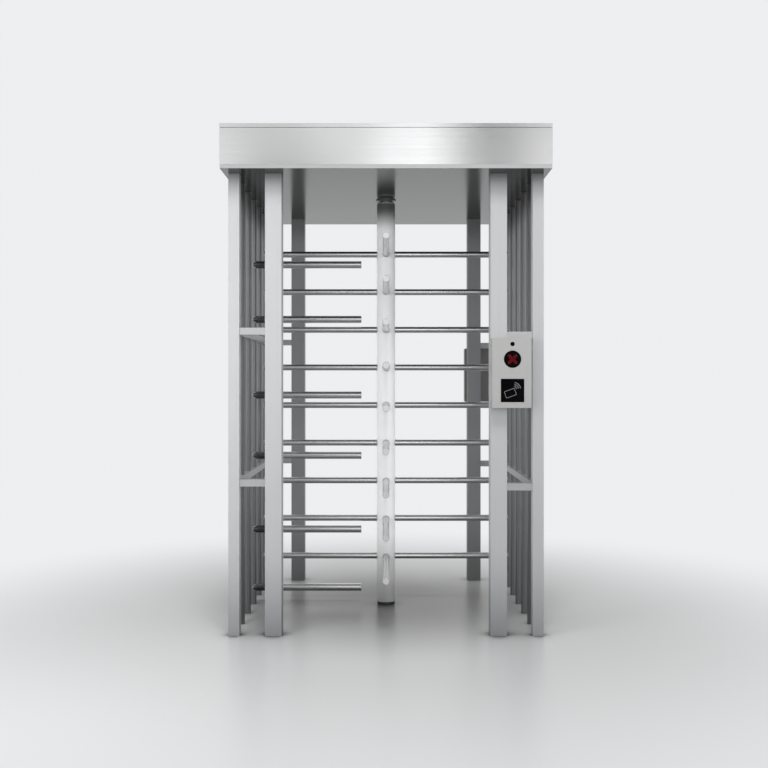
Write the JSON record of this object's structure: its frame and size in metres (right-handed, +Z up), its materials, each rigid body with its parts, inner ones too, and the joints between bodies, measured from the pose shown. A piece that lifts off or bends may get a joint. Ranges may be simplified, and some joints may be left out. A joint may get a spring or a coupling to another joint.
{
  "type": "full height turnstile",
  "caption": "Single-lane full height turnstile: four-wing rotor of horizontal arms, comb barrier, barred sides and a lidded box canopy.",
  "frame": {"origin": "on the floor, at the rotor's axis, which is the middle of the canopy's plan", "axes": "+Z up along the rotor's axis, front (the face in the picture) towards -Y, comb on the -X side"},
  "size_m": [1.476, 1.464, 2.3],
  "materials": {
    "post_stainless": "fine vertical brushing",
    "bar_stainless": "satin tube",
    "rail_stainless": "brushed lengthwise",
    "rotor_stainless": "bright satin tube",
    "canopy_stainless": "brushed sheet",
    "blackened_steel": "black oxide",
    "seal_rubber": "matt",
    "galvanised_steel": "dull galvanised",
    "machined_steel": "turned",
    "bearing_steel": "ground and polished",
    "bronze": "turned bronze",
    "spring_steel": "drawn wire",
    "zinc_fasteners": "zinc plated",
    "black_housings": "matt black",
    "control_grey": "grey powder coat",
    "reader_stainless": "satin",
    "indicator_lens": "smoked gloss",
    "window_black": "black gloss"
  },
  "bodies": {
    "frame": {"bearing_housing": "machined_steel", "bearing_outer_ring": "bearing_steel", "ceiling_collar": "canopy_stainless", "ceiling_tray": "canopy_stainless", "centring_spring": "spring_steel", "comb_bars": "bar_stainless", "control_units": "control_grey", "damper_body": "black_housings", "fascia_back": "canopy_stainless", "fascia_front": "canopy_stainless", "fascia_left": "canopy_stainless", "fascia_right": "canopy_stainless", "floor_pivot": "blackened_steel", "frame_bolts": "zinc_fasteners", "frame_hinge_leaves": "canopy_stainless", "head_cross_beams": "galvanised_steel", "head_long_beams": "galvanised_steel", "indicator_lenses": "indicator_lens", "inner_post_back_left": "post_stainless", "inner_post_back_right": "post_stainless", "inner_post_front_left": "post_stainless", "inner_post_front_right": "post_stainless", "lid_seal": "seal_rubber", "mechanism_plate": "galvanised_steel", "mechanism_studs": "machined_steel", "outer_post_back_left": "post_stainless", "outer_post_back_right": "post_stainless", "outer_post_front_left": "post_stainless", "outer_post_front_right": "post_stainless", "post_feet": "post_stainless", "rails_left": "rail_stainless", "rails_right": "rail_stainless", "reader_cases": "reader_stainless", "reader_covers": "reader_stainless", "reader_units": "black_housings", "reader_windows": "window_black", "side_bars_left": "bar_stainless", "side_bars_right": "bar_stainless", "solenoids": "black_housings"},
    "rotor": {"column": "rotor_stainless", "column_foot_plug": "machined_steel", "foot_bush": "bronze", "wing_front_arms": "rotor_stainless", "wing_back_arms": "rotor_stainless", "wing_left_arms": "rotor_stainless", "wing_right_arms": "rotor_stainless", "drive_shaft": "machined_steel", "main_gear": "machined_steel", "lock_disc": "machined_steel", "bearing_inner_ring": "bearing_steel", "bearing_balls": "bearing_steel"},
    "crank": {"centring_crank": "machined_steel"},
    "damper": {"damper_pinion": "machined_steel"},
    "right_pawl": {"pawl_right": "machined_steel"},
    "left_pawl": {"pawl_left": "machined_steel"},
    "right_plunger": {"plunger_right": "machined_steel"},
    "left_plunger": {"plunger_left": "machined_steel"},
    "canopy_lid": {"lid": "canopy_stainless", "lid_hinge_leaves": "canopy_stainless"},
    "lock": {"lid_lock": "zinc_fasteners"}
  },
  "joints": [
    {"name": "rotor_spin", "type": "hinge", "parent": "frame", "child": "rotor", "pos_m": [0, 0, 0], "axis": [0, 0, 1], "continuous": true},
    {"name": "crank_spin", "type": "hinge", "parent": "frame", "child": "crank", "pos_m": [0, -0.12, 2.214], "axis": [0, 0, 1], "continuous": true, "deforming": ["centring_spring"]},
    {"name": "damper_spin", "type": "hinge", "parent": "frame", "child": "damper", "pos_m": [0, 0.126, 2.214], "axis": [0, 0, 1], "continuous": true},
    {"name": "right_pawl_swing", "type": "hinge", "parent": "frame", "child": "right_pawl", "pos_m": [0.14708, 0.0198, 2.19], "axis": [0, 0, 1], "range_deg": [0, 10], "stiffness_Nm_per_rad": 1, "springref_deg": -5.73},
    {"name": "left_pawl_swing", "type": "hinge", "parent": "frame", "child": "left_pawl", "pos_m": [-0.14708, 0.0198, 2.19], "axis": [0, 0, -1], "range_deg": [0, 10], "stiffness_Nm_per_rad": 1, "springref_deg": -5.73},
    {"name": "right_plunger_slide", "type": "slide", "parent": "frame", "child": "right_plunger", "axis": [1, 0, 0], "range_m": [0, 0.0079]},
    {"name": "left_plunger_slide", "type": "slide", "parent": "frame", "child": "left_plunger", "axis": [-1, 0, 0], "range_m": [0, 0.0079]},
    {"name": "lid_hinge", "type": "hinge", "parent": "frame", "child": "canopy_lid", "pos_m": [0, 0.725, 2.2853], "axis": [-1, 0, 0], "range_deg": [0, 80]},
    {"name": "lid_lock_turn", "type": "hinge", "parent": "canopy_lid", "child": "lock", "pos_m": [0, -0.688, 2.29], "axis": [0, 0, -1], "range_deg": [0, 90]}
  ],
  "couplings": [
    {"joint": "crank_spin", "follows": "rotor_spin", "ratio": -4},
    {"joint": "damper_spin", "follows": "rotor_spin", "ratio": -3.2},
    {"joint": "right_plunger_slide", "follows": "right_pawl_swing", "m_per_rad": 0.045115},
    {"joint": "left_plunger_slide", "follows": "left_pawl_swing", "m_per_rad": 0.045115}
  ]
}
